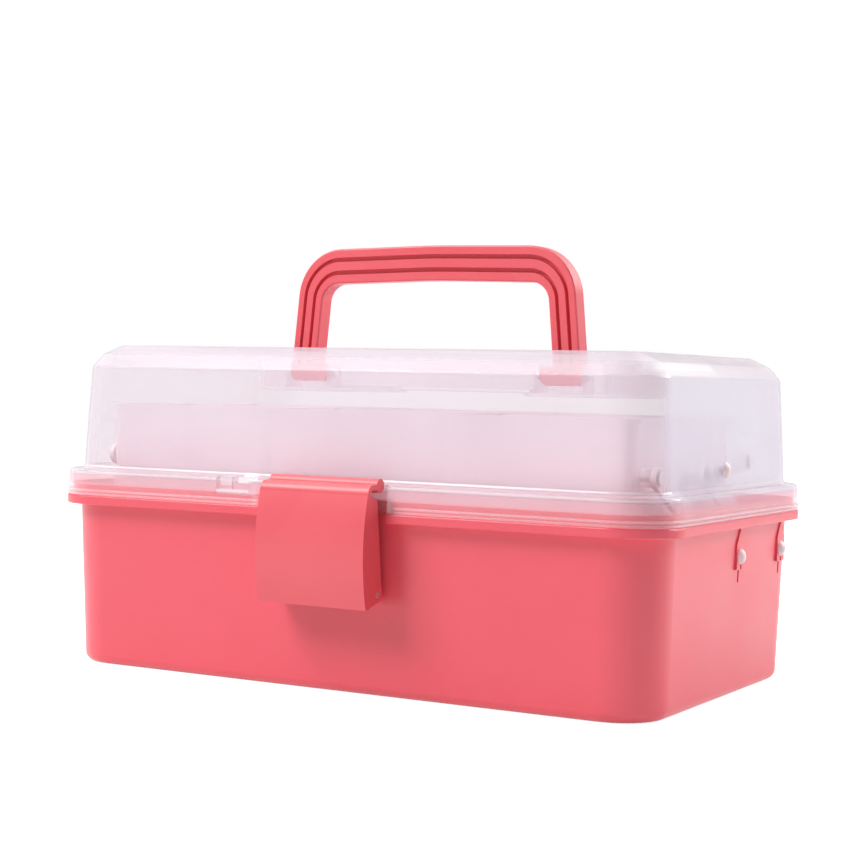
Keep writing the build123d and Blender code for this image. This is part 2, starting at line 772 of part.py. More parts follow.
# Pins of the linkage
arm_inside_cap = (arm_layer - running_gap - rivet_cap, arm_layer - running_gap)
arm_outside_cap = (arm_outside + running_gap, arm_outside + running_gap + rivet_cap)
link_inside_cap = (arm_outside_cap[1] + running_gap, link_layer - running_gap)
link_outside_cap = (link_outside + running_gap, link_outside + running_gap + rivet_cap)
tub_face = rim_length / 2 - tub_inset(pivot_height)
tub_spacer = (arm_outside + running_gap, tub_face - tub_wall - running_gap)
lid_face = rim_length / 2 - lid_inset(lid_pin_height - rivet_head)
lid_spacer = (link_outside + running_gap, link_outside + link_room - running_gap)
tub_pins = pin_group([
    make_pin(place, arm_inside_cap[0], tub_face + pad_proud, [arm_inside_cap, tub_spacer], dome=True)
    for place in (front_foot, rear_foot)
])
lower_tray_pins = pin_group([
    make_pin(place, tray_end, arm_outside_cap[1], [arm_outside_cap]) for place in lower_pins
])
upper_tray_pins = pin_group([
    make_pin(place, tray_end, arm_outside_cap[1], [arm_outside_cap]) for place in upper_pins
])
link_pins = pin_group([make_pin(tray_pin, tray_end, link_outside_cap[1], [link_outside_cap])])
lid_pins = pin_group([
    make_pin(lid_pin, link_inside_cap[0], lid_face, [link_inside_cap, lid_spacer], dome=True)
])

# Straight steel pins
hinge_half = 1.5 * knuckle_length + running_gap
hinge_pins = Compound(children=[
    bar_along_x(side * hinge_spacing / 2 - hinge_half, side * hinge_spacing / 2 + hinge_half,
                hinge_y, hinge_z, hinge_pin_radius)
    for side in (-1, 1)
])
latch_pin = bar_along_x(
    -latch_width / 2, latch_width / 2, -latch_pivot_y, latch_pivot_height, latch_pin_radius,
)
handle_pin_half = foot_width / 2 + running_gap + ear_thickness
handle_pins = Compound(children=[
    bar_along_x(side * foot_centre - handle_pin_half, side * foot_centre + handle_pin_half,
                0, handle_pivot_height, handle_pin_radius)
    for side in (-1, 1)
])

pieces = {
    "tub": tub.part,
    "lid": lid.part,
    "handle": handle.part,
    "latch": latch.part,
    "lower_tray": lower_tray,
    "upper_tray": upper_tray,
    "front_arm_right": front_arm,
    "front_arm_left": mirror(front_arm, about=Plane.YZ),
    "rear_arm_right": rear_arm,
    "rear_arm_left": mirror(rear_arm, about=Plane.YZ),
    "lid_link_right": lid_link,
    "lid_link_left": mirror(lid_link, about=Plane.YZ),
    "tub_pivot_pins": tub_pins,
    "lower_tray_pivot_pins": lower_tray_pins,
    "upper_tray_pivot_pins": upper_tray_pins,
    "link_pivot_pins": link_pins,
    "lid_pivot_pins": lid_pins,
    "hinge_pins": hinge_pins,
    "latch_pin": latch_pin,
    "handle_pins": handle_pins,
}
os.makedirs("parts", exist_ok=True)
for name, piece in pieces.items():
    piece.label = name
    export_step(piece, f"parts/{name}.step")
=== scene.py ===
"""Dresses a packed storage box with a clear hinged lid and sets it before a camera.

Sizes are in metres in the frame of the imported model: X runs along the box, Y from the latch to the
hinge, Z up, with the origin under the middle of the base.
"""

import json
import logging
from dataclasses import dataclass, field
from enum import Enum
from math import cos, pi, radians, sin

import bpy
import numpy as np
from mathutils import Matrix, Vector


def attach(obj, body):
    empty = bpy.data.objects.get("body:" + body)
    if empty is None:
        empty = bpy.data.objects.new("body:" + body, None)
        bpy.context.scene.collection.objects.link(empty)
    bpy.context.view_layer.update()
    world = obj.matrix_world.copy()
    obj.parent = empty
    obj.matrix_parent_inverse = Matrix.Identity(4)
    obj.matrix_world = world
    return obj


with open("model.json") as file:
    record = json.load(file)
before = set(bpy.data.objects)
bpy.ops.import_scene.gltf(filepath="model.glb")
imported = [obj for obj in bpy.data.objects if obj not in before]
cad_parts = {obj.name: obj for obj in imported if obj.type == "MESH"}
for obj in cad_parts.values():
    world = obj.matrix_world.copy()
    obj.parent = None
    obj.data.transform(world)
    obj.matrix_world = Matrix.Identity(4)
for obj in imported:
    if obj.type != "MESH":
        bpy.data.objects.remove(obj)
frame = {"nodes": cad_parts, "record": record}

LOG = logging.getLogger("storage_box")
Colour = tuple[float, float, float]
Point = tuple[float, float, float]
# The backdrop's and the floor's white, and how much of it the plastics' reflections see
WHITE = (1.0, 1.0, 1.0, 1.0)
MIRRORED_WHITE = 0.6


class Stock(Enum):
    """The plastics and metal that the box is made of, by their slots in the record."""

    TUB = "tub_plastic"
    GRIP = "handle_plastic"
    CLEAR = "clear_plastic"
    FROSTED = "tray_plastic"
    NATURAL = "white_plastic"
    WIRE = "steel"


class Wiring:
    """Adds nodes to a node tree and links them."""

    def __init__(self, tree: bpy.types.NodeTree) -> None:
        """Takes the tree to build in."""
        self.tree = tree

    def node(self, kind: str, **settings: object) -> bpy.types.Node:
        """Adds a node.

        Args:
            kind: Blender's name of the node type.
            settings: Properties of the node and their values.

        Returns:
            The new node.
        """
        made = self.tree.nodes.new(kind)
        for name, value in settings.items():
            setattr(made, name, value)
        return made

    def feed(self, socket: bpy.types.NodeSocket, source: object) -> None:
        """Links a source socket to a socket, or sets the socket to a plain value."""
        if isinstance(source, bpy.types.NodeSocket):
            self.tree.links.new(source, socket)
        else:
            socket.default_value = source

    def maths(self, operation: str, first: object, second: object = 0.0,
              clamp: bool = False) -> bpy.types.NodeSocket:
        """Adds a Math node.

        Args:
            operation: Blender's name of the operation.
            first: The first value or socket.
            second: The second value or socket.
            clamp: Whether the result stays between 0 and 1.

        Returns:
            The result's socket.
        """
        made = self.node("ShaderNodeMath", operation=operation, use_clamp=clamp)
        self.feed(made.inputs[0], first)
        self.feed(made.inputs[1], second)
        return made.outputs[0]

    def span(self, value: object, low: float, high: float, to_low: object = 0.0,
             to_high: object = 1.0) -> bpy.types.NodeSocket:
        """Maps a value smoothly from one range to another.

        Args:
            value: The value or socket.
            low: The start of its range.
            high: The end of its range.
            to_low: The result at the start.
            to_high: The result at the end.

        Returns:
            The result's socket.
        """
        made = self.node("ShaderNodeMapRange", interpolation_type="SMOOTHSTEP")
        for socket, source in zip(made.inputs, (value, low, high, to_low, to_high)):
            self.feed(socket, source)
        return made.outputs[0]

    def blend(self, share: object, first: object, second: object) -> bpy.types.NodeSocket:
        """Mixes two colours.

        Args:
            share: How much of the second colour shows.
            first: The first colour or socket.
            second: The second colour or socket.

        Returns:
            The mixed colour's socket.
        """
        made = self.node("ShaderNodeMix", data_type="RGBA")
        self.feed(made.inputs["Factor"], share)
        for socket, source in zip((made.inputs[6], made.inputs[7]), (first, second)):
            self.feed(socket, (*source, 1.0) if isinstance(source, tuple) else source)
        return made.outputs[2]

    def noise(self, place: object, scale: object, detail: float = 3.0,
              roughness: float = 0.5) -> bpy.types.NodeSocket:
        """Adds a noise texture.

        Args:
            place: The coordinates that it is laid out on.
            scale: How many blots there are in a metre.
            detail: How many finer layers it has.
            roughness: How strong the finer layers are.

        Returns:
            The socket of its value.
        """
        made = self.node("ShaderNodeTexNoise")
        self.feed(made.inputs["Vector"], place)
        self.feed(made.inputs["Scale"], scale)
        made.inputs["Detail"].default_value = detail
        made.inputs["Roughness"].default_value = roughness
        return made.outputs["Fac"]


def open_group(name: str, numbers: dict[str, float],
               outputs: tuple[str, ...]) -> tuple[bpy.types.NodeTree, Wiring, dict, dict]:
    """Starts a shader node group that reads Object coordinates inside.

    Args:
        name: The group's name.
        numbers: Its number inputs and their usual values.
        outputs: The names of its number outputs.

    Returns:
        The group, its wiring, its input sockets by name and its output sockets by name.
    """
    group = bpy.data.node_groups.new(name, "ShaderNodeTree")
    for title, value in numbers.items():
        socket = group.interface.new_socket(title, in_out="INPUT", socket_type="NodeSocketFloat")
        socket.default_value = value
    for title in outputs:
        group.interface.new_socket(title, in_out="OUTPUT", socket_type="NodeSocketFloat")
    wiring = Wiring(group)
    source = wiring.node("NodeGroupInput")
    sink = wiring.node("NodeGroupOutput")
    return group, wiring, source.outputs, sink.inputs


class Effects:
    """The surface effects that several finishes share, each a node group.

    Attributes:
        grain: The faint orange peel of a polished mould.
        flow: Cloudy streaks that molten plastic leaves.
        handling: Hairline scuffs.
        zone: A mask of where painted light or shade goes.
    """

    SWELL_SCALE = 0.035
    STREAK_STRETCH = (0.35, 1.0, 1.0)
    SCUFF_TURN = (0.4, 0.3, 0.7)
    SCUFF_STRETCH = (1.0, 6.0, 2.0)
    SCUFF_WIDTH = 0.012
    PATCH_SCALE = 0.4
    PATCH_FROM, PATCH_FULL = 0.52, 0.7

    def __init__(self) -> None:
        """Builds the groups."""
        self.grain = self._mould_grain()
        self.flow = self._flow_haze()
        self.handling = self._handling()
        self.zone = self._painted_light_zone()

    def _painted_light_zone(self) -> bpy.types.NodeTree:
        """A mask of where painted light or shade goes.

        Mask is one between Low and High in Z, between Left and Right in X and before Back in Y, and falls
        to nought within Soft of each of them.

        Returns:
            The group.
        """
        group, wiring, given, out = open_group(
            "painted_light_zone", {"Low": 0.0, "High": 0.01, "Left": -1.0, "Right": 1.0, "Back": 1.0,
                             "Soft": 0.0004}, ("Mask",))
        axes = wiring.node("ShaderNodeSeparateXYZ")
        wiring.feed(axes.inputs[0], wiring.node("ShaderNodeTexCoord").outputs["Object"])
        mask: object = 1.0
        for more, less in ((axes.outputs["Z"], given["Low"]), (given["High"], axes.outputs["Z"]),
                           (axes.outputs["X"], given["Left"]), (given["Right"], axes.outputs["X"]),
                           (given["Back"], axes.outputs["Y"])):
            share = wiring.maths("DIVIDE", wiring.maths("SUBTRACT", more, less), given["Soft"], clamp=True)
            mask = wiring.maths("MULTIPLY", mask, share)
        wiring.feed(out["Mask"], mask)
        return group

    def _mould_grain(self) -> bpy.types.NodeTree:
        """The faint orange peel of a polished mould.

        Height is fine noise plus a slower swell. Mottle is a slow noise about one half.

        Returns:
            The group.
        """
        group, wiring, given, out = open_group(
            "mould_grain", {"Scale": 900.0, "Swell": 0.5}, ("Height", "Mottle"))
        place = wiring.node("ShaderNodeTexCoord").outputs["Object"]
        fine = wiring.noise(place, given["Scale"], detail=2.0)
        slow = wiring.noise(place, wiring.maths("MULTIPLY", given["Scale"], self.SWELL_SCALE), detail=2.0)
        swell = wiring.maths("MULTIPLY", slow, given["Swell"])
        wiring.feed(out["Height"], wiring.maths("ADD", fine, swell))
        wiring.feed(out["Mottle"], slow)
        return group

    def _flow_haze(self) -> bpy.types.NodeTree:
        """Cloudy streaks that molten plastic leaves, drawn out along the box.

        Haze is a noise on coordinates squeezed along X, with its contrast as an input.

        Returns:
            The group.
        """
        group, wiring, given, out = open_group(
            "flow_haze", {"Scale": 14.0, "Contrast": 1.0}, ("Haze",))
        place = wiring.node("ShaderNodeTexCoord").outputs["Object"]
        drawn = wiring.node("ShaderNodeMapping")
        wiring.feed(drawn.inputs["Vector"], place)
        drawn.inputs["Scale"].default_value = self.STREAK_STRETCH
        cloud = wiring.noise(drawn.outputs["Vector"], given["Scale"], detail=4.0, roughness=0.55)
        centred = wiring.maths("SUBTRACT", cloud, 0.5)
        wiring.feed(out["Haze"], wiring.maths("MULTIPLY", centred, given["Contrast"]))
        return group

    def _handling(self) -> bpy.types.NodeTree:
        """Hairline scuffs, gathered in patches.

        Scuff is high where a stretched noise is near its middle value and a slow blotchy noise is high.

        Returns:
            The group.
        """
        group, wiring, given, out = open_group("handling", {"Scale": 60.0, "Amount": 1.0}, ("Scuff",))
        place = wiring.node("ShaderNodeTexCoord").outputs["Object"]
        turned = wiring.node("ShaderNodeMapping")
        wiring.feed(turned.inputs["Vector"], place)
        turned.inputs["Rotation"].default_value = self.SCUFF_TURN
        turned.inputs["Scale"].default_value = self.SCUFF_STRETCH
        hair = wiring.noise(turned.outputs["Vector"], given["Scale"], detail=3.0)
        near = wiring.maths("ABSOLUTE", wiring.maths("SUBTRACT", hair, 0.5))
        line = wiring.span(near, 0.0, self.SCUFF_WIDTH, 1.0, 0.0)
        blotch = wiring.noise(place, wiring.maths("MULTIPLY", given["Scale"], self.PATCH_SCALE), detail=2.0)
        patch = wiring.span(blotch, self.PATCH_FROM, self.PATCH_FULL)
        scuff = wiring.maths("MULTIPLY", line, patch)
        wiring.feed(out["Scuff"], wiring.maths("MULTIPLY", scuff, given["Amount"]))
        return group


def place_group(wiring: Wiring, group: bpy.types.NodeTree, **values: float) -> bpy.types.Node:
    """Puts a shared effect into a material with its own values.

    Args:
        wiring: The material's wiring.
        group: The effect.
        values: The effect's inputs and their values.

    Returns:
        The effect's node in the material.
    """
    made = wiring.node("ShaderNodeGroup", node_tree=group)
    for name, value in values.items():
        made.inputs[name].default_value = value
    return made


def add_bump(wiring: Wiring, shader: bpy.types.Node, height: object, depth: float,
             strength: float = 1.0) -> None:
    """Lets a height push a shader's normal about.

    Args:
        wiring: The material's wiring.
        shader: Its surface shader.
        height: The height's socket.
        depth: How deep a height of one is, in metres.
        strength: How much of it shows.
    """
    bump = wiring.node("ShaderNodeBump")
    bump.inputs["Distance"].default_value = depth
    bump.inputs["Strength"].default_value = strength
    wiring.feed(bump.inputs["Height"], height)
    wiring.feed(shader.inputs["Normal"], bump.outputs["Normal"])


def open_material(name: str) -> tuple[bpy.types.Material, Wiring, bpy.types.Node]:
    """Starts a node material.

    Args:
        name: The material's name.

    Returns:
        The material, its wiring and its surface shader.
    """
    material = bpy.data.materials.new(name)
    material.use_nodes = True
    return material, Wiring(material.node_tree), material.node_tree.nodes["Principled BSDF"]


@dataclass(frozen=True)
class SolidPlastic:
    """Coloured moulded plastic with a satin gloss.

    Attributes:
        name: The material's name.
        colour: Linear colour.
        light: Linear colour of its paler mottling.
        gloss: Roughness of the clean surface.
        shine: Strength of its reflections, where a half is the usual one.
        grain: How deep the mould's grain is, in metres.
        scuffed: How much rougher a scuff is.
    """

    name: str
    colour: Colour
    light: Colour
    gloss: float = 0.34
    shine: float = 0.5
    grain: float = 0.00004
    scuffed: float = 0.08

    def build(self, effects: Effects) -> bpy.types.Material:
        """Builds the material.

        Args:
            effects: The shared effects.

        Returns:
            The material.
        """
        material, wiring, shader = open_material(self.name)
        grain = place_group(wiring, effects.grain, Scale=900.0, Swell=1.2)
        wear = place_group(wiring, effects.handling, Scale=260.0, Amount=0.35)
        tint = wiring.span(grain.outputs["Mottle"], 0.35, 0.65, 0.0, 0.5)
        wiring.feed(shader.inputs["Base Color"], wiring.blend(tint, self.colour, self.light))
        shader.inputs["Specular IOR Level"].default_value = self.shine
        rough = wiring.span(grain.outputs["Mottle"], 0.3, 0.7, self.gloss - 0.02, self.gloss + 0.03)
        rough = wiring.maths("ADD", rough, wiring.maths("MULTIPLY", wear.outputs["Scuff"], self.scuffed))
        wiring.feed(shader.inputs["Roughness"], rough)
        add_bump(wiring, shader, grain.outputs["Height"], self.grain, strength=0.5)
        return material


# Painted highlights: bands of paler, cloudier milk laid where the lid's edges would catch the lamps.
@dataclass(frozen=True)
class PaintedHighlight:
    """A highlight painted on a moulded edge or patch: a band of paler, cloudier milk where light would shine
    off it.

    Attributes:
        low: Its lowest level.
        high: Its highest level.
        strength: How strong the painted highlight is, from nought to one.
        left: Where it starts along the box.
        right: Where it ends along the box.
        back: How far back it goes.
        tone: Linear colour of the painted highlight.
        soft: How far its edges fade.
    """

    low: float
    high: float
    strength: float
    left: float = -1.0
    right: float = 1.0
    back: float = 1.0
    tone: Colour = (0.98, 0.94, 0.97)
    soft: float = 0.0004


@dataclass(frozen=True)
class SheerPlastic:
    """See-through milky plastic, more so where it is seen edge-on.

    Attributes:
        name: The material's name.
        colour: Linear colour of the milk in it.
        facing: How much of the light it stops at a face seen straight on.
        grazing: The same at a face seen edge-on.
        gloss: Roughness.
        haze: How much its cloudiness varies.
        index: Index of its reflections.
        passing: How much of what it stops it still sends on to the things behind it as scattered light.
        close_below: The level under which it lies close on the tub, where it is made clearer and a coral
            glow from the tub is painted into its milk.
        close_fade: How far below that level the painted coral glow is full.
        clearing: How much of its milk is lost to sight there.
        end_shade_from: How far along the box painted shade turns its milk darker and bluer, as at the right
            end.
        end_shade_fade: How far along from there the painted shade is full.
        pale_tone: Linear colour of its cloudiest streaks.
        end_shade_tone: Linear colour of the painted shade at its right end.
        coral_glow_tone: Linear colour of the painted coral glow close on the tub.
        edge_tone: Linear colour of its milk at a face seen edge-on, where it lies deeper in its own shade.
        edge_share: How much of that colour shows there.
        edge_from: How far a face has turned away when that colour starts, where one is edge-on.
        edge_full: How far it has turned when all of its share shows.
        turning: How early a turning face counts as edge-on, from nought to one.
        grain: How deep the mould's grain is, in metres.
        painted_highlights: The highlights painted on its bright moulded edges.
    """

    name: str
    colour: Colour
    facing: float
    grazing: float
    gloss: float = 0.16
    haze: float = 0.16
    index: float = 1.6
    passing: float = 0.6
    close_below: float = 0.0
    close_fade: float = 0.006
    clearing: float = 0.3
    end_shade_from: float = 1.0
    end_shade_fade: float = 0.008
    pale_tone: Colour = (0.97, 0.95, 0.98)
    end_shade_tone: Colour = (0.79, 0.78, 0.9)
    coral_glow_tone: Colour = (0.98, 0.78, 0.83)
    edge_tone: Colour = (0.42, 0.37, 0.42)
    edge_share: float = 0.85
    edge_from: float = 0.5
    edge_full: float = 0.95
    turning: float = 0.32
    grain: float = 0.00002
    painted_highlights: tuple[PaintedHighlight, ...] = ()

    def _tinted(self, wiring: Wiring, effects: Effects, haze: bpy.types.NodeSocket,
                stopped: bpy.types.NodeSocket) -> tuple[bpy.types.NodeSocket, bpy.types.NodeSocket]:
        """Lays haze, painted shade at the right end, a painted coral glow low down and painted highlights
        over the milk.

        Args:
            wiring: The material's wiring.
            effects: The shared effects.
            haze: The cloudiness about nought.
            stopped: How much of the light the clear plastic stops.

        Returns:
            How much of the light the milky plastic stops, and its colour.
        """
        cloudy = wiring.maths("MULTIPLY", stopped, wiring.maths("ADD", haze, 1.0), clamp=True)
        tint = wiring.span(haze, -0.1, 0.1, 0.0, 0.25)
        colour = wiring.blend(tint, self.colour, self.pale_tone)
        # Painted shade: the right end's milk turns darker and bluer, as that end gets less light.
        end_shade = place_group(wiring, effects.zone, Low=0.0, High=1.0, Left=self.end_shade_from, Soft=self.end_shade_fade)
        colour = wiring.blend(end_shade.outputs["Mask"], colour, self.end_shade_tone)
        # Painted coral glow: low down the milk turns pink, standing in for light bounced off the coral tub;
        # the lid's plastic there is also made clearer.
        if self.close_below:
            close = place_group(wiring, effects.zone, Low=0.0, High=self.close_below, Soft=self.close_fade)
            share = wiring.maths("MULTIPLY", close.outputs["Mask"], self.clearing)
            cloudy = wiring.maths("MULTIPLY", cloudy, wiring.maths("SUBTRACT", 1.0, share))
            colour = wiring.blend(close.outputs["Mask"], colour, self.coral_glow_tone)
        # Painted highlights: each band makes the milk paler and cloudier where light would shine off an
        # edge.
        for highlight in self.painted_highlights:
            zone = place_group(wiring, effects.zone, Low=highlight.low, High=highlight.high, Left=highlight.left,
                               Right=highlight.right, Back=highlight.back, Soft=highlight.soft)
            sheen = wiring.maths("MULTIPLY", zone.outputs["Mask"], highlight.strength)
            cloudy = wiring.maths("MAXIMUM", cloudy, sheen)
            colour = wiring.blend(sheen, colour, highlight.tone)
        return cloudy, colour

    def build(self, effects: Effects) -> bpy.types.Material:
        """Builds the material.

        Args:
            effects: The shared effects.

        Returns:
            The material.
        """
        material, wiring, shader = open_material(self.name)
        grain = place_group(wiring, effects.grain, Scale=700.0, Swell=1.5)
        flow = place_group(wiring, effects.flow, Scale=16.0, Contrast=self.haze)
        shader.inputs["IOR"].default_value = self.index
        weight = wiring.node("ShaderNodeLayerWeight")
        weight.inputs["Blend"].default_value = self.turning
        stopped = wiring.span(weight.outputs["Facing"], 0.0, 1.0, self.facing, self.grazing)
        cloudy, colour = self._tinted(wiring, effects, flow.outputs["Haze"], stopped)
        edge = wiring.span(weight.outputs["Facing"], self.edge_from, self.edge_full, 0.0, self.edge_share)
        colour = wiring.blend(edge, colour, self.edge_tone)
        shade = wiring.node("ShaderNodeLightPath").outputs["Is Shadow Ray"]
        held = wiring.maths("SUBTRACT", 1.0, wiring.maths("MULTIPLY", shade, self.passing))
        wiring.feed(shader.inputs["Alpha"], wiring.maths("MULTIPLY", cloudy, held))
        wiring.feed(shader.inputs["Base Color"], colour)
        rough = wiring.span(grain.outputs["Mottle"], 0.3, 0.7, self.gloss - 0.04, self.gloss + 0.05)
        wiring.feed(shader.inputs["Roughness"], rough)
        add_bump(wiring, shader, grain.outputs["Height"], self.grain, strength=0.4)
        return material


@dataclass(frozen=True)
class DrawnWire:
    """Steel wire with fine lines along it.

    Attributes:
        name: The material's name.
        colour: Linear colour of its darker lines.
        light: Linear colour of its paler lines.
        gloss: Roughness of its darker lines.
        lines_in_a_metre: How many lines there are along X and across it.
        depth: How deep the lines are, in metres.
    """

    name: str = "drawn_wire"
    colour: Colour = (0.62, 0.61, 0.6)
    light: Colour = (0.8, 0.79, 0.78)
    gloss: float = 0.28
    lines_in_a_metre: Point = (20.0, 2500.0, 2500.0)
    depth: float = 0.00002

    def build(self, effects: Effects) -> bpy.types.Material:
        """Builds the material.

        Args:
            effects: The shared effects.

        Returns:
            The material.
        """
        material, wiring, shader = open_material(self.name)
        place = wiring.node("ShaderNodeTexCoord").outputs["Object"]
        drawn = wiring.node("ShaderNodeMapping")
        wiring.feed(drawn.inputs["Vector"], place)
        drawn.inputs["Scale"].default_value = self.lines_in_a_metre
        lines = wiring.noise(drawn.outputs["Vector"], 1.0, detail=2.0)
        wiring.feed(shader.inputs["Base Color"], wiring.blend(lines, self.colour, self.light))
        wiring.feed(shader.inputs["Roughness"], wiring.span(lines, 0.2, 0.8, self.gloss, self.gloss + 0.15))
        shader.inputs["Metallic"].default_value = 1.0
        wear = place_group(wiring, effects.handling, Scale=200.0, Amount=1.0)
        add_bump(wiring, shader, wiring.maths("ADD", lines, wear.outputs["Scuff"]), self.depth)
        return material


Finish = SolidPlastic | SheerPlastic | DrawnWire


@dataclass
class Dressing:
    """The finish of each stock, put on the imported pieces.

    Attributes:
        finishes: The finish by stock.
    """

    finishes: dict[Stock, Finish] = field(default_factory=lambda: {
        Stock.TUB: SolidPlastic("tub_coral", (0.84, 0.092, 0.128), (0.86, 0.105, 0.143), shine=0.6),
        Stock.GRIP: SolidPlastic("grip_coral", (0.83, 0.115, 0.14), (0.85, 0.13, 0.155)),
        # The lid: a painted coral glow on its skirt, painted shade on its right end, and the painted
        # highlights listed below.
        Stock.CLEAR: SheerPlastic(
            "lid_clear", (0.8, 0.71, 0.785), facing=0.19, grazing=0.75, close_below=0.094, end_shade_from=0.15,
            painted_highlights=(
                # Painted highlights on the bevel all round, on the skirt's two steps, and at the bevel's
                # bright corner
                PaintedHighlight(0.1483, 0.1542, 0.3), PaintedHighlight(0.0976, 0.0991, 0.5), PaintedHighlight(0.0946, 0.0962, 0.45),
                PaintedHighlight(0.1475, 0.1575, 0.6, left=0.1435, back=-0.01, tone=(1.0, 1.0, 1.0), soft=0.004),
                # A painted highlight on the upper bead, and a painted pink glow where the tub's rim shows
                # through the skirt
                PaintedHighlight(0.0862, 0.087, 0.2), PaintedHighlight(0.0892, 0.0946, 0.4, tone=(0.98, 0.42, 0.5)),
                # Painted highlights on the snap tab's bar, flap and block, and painted light on the two side
                # walls of the latch's notch
                PaintedHighlight(0.0895, 0.0915, 0.6, left=-0.0614, right=-0.0425, back=-0.09),
                PaintedHighlight(0.0925, 0.0976, 0.5, left=-0.06, right=-0.053, back=-0.09),
                PaintedHighlight(0.094, 0.099, 0.85, left=-0.049, right=-0.0424, back=-0.09),
                PaintedHighlight(0.0842, 0.099, 0.25, left=-0.0407, right=-0.0379, back=-0.09),
                PaintedHighlight(0.0842, 0.099, 0.3, left=0.0328, right=0.0358, back=-0.09))),
        # The trays' lower parts get a painted coral glow, standing in for light bounced off the tub.
        Stock.FROSTED: SheerPlastic(
            "tray_frosted", (0.89, 0.79, 0.85), facing=0.38, grazing=0.92, gloss=0.35, close_below=0.125,
            close_fade=0.04, clearing=0.0),
        Stock.NATURAL: SolidPlastic("pin_natural", (0.92, 0.76, 0.78), (0.94, 0.8, 0.82), gloss=0.4),
        Stock.WIRE: DrawnWire(),
    })

    def dress(self, nodes: dict[str, bpy.types.Object], record: dict) -> dict[Stock, bpy.types.Material]:
        """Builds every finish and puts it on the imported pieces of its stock.

        Args:
            nodes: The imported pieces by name.
            record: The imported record, which names each piece's slot.

        Returns:
            The materials by stock.
        """
        effects = Effects()
        made = {stock: finish.build(effects) for stock, finish in self.finishes.items()}
        for part in record["subparts"]:
            stock = Stock(part["material_slot"])
            for slot in nodes[part["node"]].material_slots:
                slot.material = made[stock]
            LOG.info("%s wears %s", part["node"], made[stock].name)
        return made


